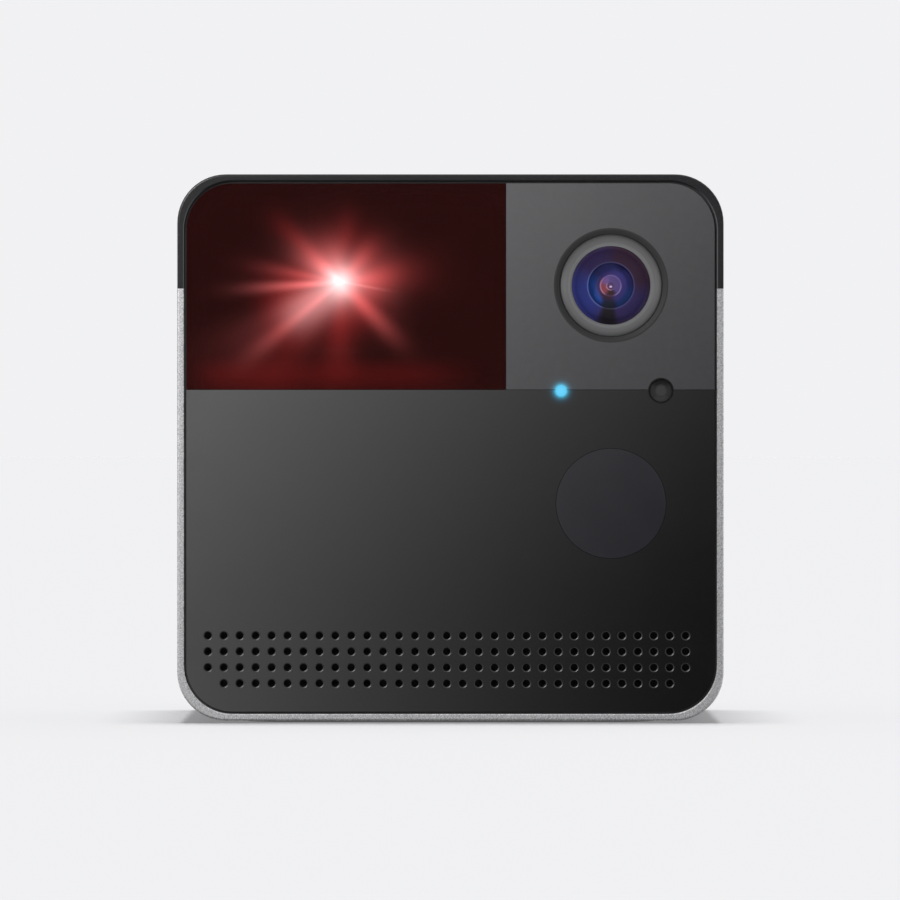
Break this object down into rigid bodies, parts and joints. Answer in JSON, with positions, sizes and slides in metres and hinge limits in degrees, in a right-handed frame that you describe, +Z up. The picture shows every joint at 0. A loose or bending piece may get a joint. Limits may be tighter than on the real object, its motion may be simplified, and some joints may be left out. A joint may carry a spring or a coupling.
{
  "type": "pet camera",
  "caption": "Cube-shaped pet camera with a wide-angle lens, a laser pointer that pans and tilts behind a red window, and a perforated speaker front.",
  "frame": {"origin": "on the surface it stands on, under the middle of the body", "axes": "+X right as seen from the front, -Y is the way the front faces, +Z up"},
  "size_m": [0.082, 0.082, 0.0824],
  "materials": {
    "anodised_aluminium": "fine bead-blasted, clear anodised",
    "black_plastic": "moulded, fine satin",
    "red_window": "polished, dark red",
    "grey_panel": "polished, back-printed dark grey",
    "black_panel": "polished, back-printed black",
    "infrared_window": "polished, infrared-clear dark",
    "clear_plastic": "clear, lightly frosted",
    "lens_black": "matt black anodised",
    "bezel_grey": "satin grey",
    "coated_glass": "multi-coated, blue and violet sheen",
    "silicon": "moulded chip package",
    "circuit_board": "green solder mask",
    "led_resin": "smoked clear resin",
    "laser_brass": "turned",
    "gear_plastic": "acetal, natural white",
    "steel": "plain, fine turned",
    "soft_rubber": "matt, fine grain",
    "foam": "closed-cell foam",
    "acoustic_cloth": "fine woven mesh",
    "cone_paper": "pressed film",
    "heat_sink_aluminium": "as extruded",
    "switch_plastic": "moulded",
    "flexible_circuit": "amber film"
  },
  "bodies": {
    "housing": {"board_chips": "silicon", "body_sleeve": "anodised_aluminium", "camera_bracket": "black_plastic", "camera_panel": "grey_panel", "case_screws": "steel", "chassis": "black_plastic", "foot_pad": "soft_rubber", "front_frame": "black_plastic", "grille_cloth": "acoustic_cloth", "heat_sink": "heat_sink_aluminium", "image_sensor": "silicon", "indicator_board": "circuit_board", "inner_screws": "steel", "ir_led_board": "circuit_board", "ir_leds": "led_resin", "ir_window": "infrared_window", "laser_deck": "black_plastic", "laser_window": "red_window", "lens_barrel": "lens_black", "lens_bezel": "bezel_grey", "lens_front_element": "coated_glass", "lens_holder": "black_plastic", "lens_inner_elements": "coated_glass", "lens_surround": "lens_black", "light_sensor_window": "clear_plastic", "lower_panel": "black_panel", "main_board": "circuit_board", "mic_boot": "soft_rubber", "microphone": "steel", "pan_bush": "gear_plastic", "pan_motor": "steel", "rear_cover": "black_plastic", "reset_switch": "switch_plastic", "ribbon_cables": "flexible_circuit", "sensor_board": "circuit_board", "speaker_basket": "black_plastic", "speaker_box": "black_plastic", "speaker_gasket": "foam", "speaker_magnet": "steel", "speaker_surround": "soft_rubber", "status_light_pipe": "clear_plastic", "top_cover": "black_plastic", "tripod_insert": "laser_brass", "usb_socket": "steel", "wifi_antenna": "flexible_circuit", "wifi_module": "steel"},
    "laser_fork": {"laser_yoke": "gear_plastic", "pan_gear": "gear_plastic", "yoke_clip": "steel", "tilt_motor": "steel"},
    "laser_head": {"laser_cradle": "gear_plastic", "laser_module": "laser_brass", "laser_lens": "coated_glass", "tilt_gear": "gear_plastic"},
    "pan_drive": {"pan_pinion": "gear_plastic"},
    "tilt_drive": {"tilt_pinion": "gear_plastic"},
    "reset_key": {"reset_button": "switch_plastic"},
    "filter_slider": {"filter_frame": "lens_black", "ir_cut_filter": "coated_glass"},
    "cone": {"speaker_cone": "cone_paper"}
  },
  "joints": [
    {"name": "laser_pan", "type": "hinge", "parent": "housing", "child": "laser_fork", "pos_m": [-0.0164, -0.022, 0.0438], "axis": [0, 0, 1], "range_deg": [-35, 35]},
    {"name": "laser_tilt", "type": "hinge", "parent": "laser_fork", "child": "laser_head", "pos_m": [-0.0164, -0.022, 0.06625], "axis": [1, 0, 0], "range_deg": [-25, 25]},
    {"name": "pan_pinion_turn", "type": "hinge", "parent": "housing", "child": "pan_drive", "pos_m": [-0.0164, -0.0092, 0.0466], "axis": [0, 0, 1], "range_deg": [-105.5, 105.5]},
    {"name": "tilt_pinion_turn", "type": "hinge", "parent": "laser_fork", "child": "tilt_drive", "pos_m": [-0.0086, -0.022, 0.05485], "axis": [1, 0, 0], "range_deg": [-94, 94]},
    {"name": "reset_press", "type": "slide", "parent": "housing", "child": "reset_key", "axis": [0, 1, 0], "range_m": [-0.0005, 0], "stiffness_N_per_m": 400},
    {"name": "filter_slide", "type": "slide", "parent": "housing", "child": "filter_slider", "axis": [1, 0, 0], "range_m": [0, 0.0054]},
    {"name": "cone_stroke", "type": "slide", "parent": "housing", "child": "cone", "axis": [0, 1, 0], "range_m": [-0.0004, 0.0004], "stiffness_N_per_m": 500}
  ],
  "couplings": [
    {"joint": "pan_pinion_turn", "follows": "laser_pan", "ratio": -3},
    {"joint": "tilt_pinion_turn", "follows": "laser_tilt", "ratio": -3.75}
  ]
}
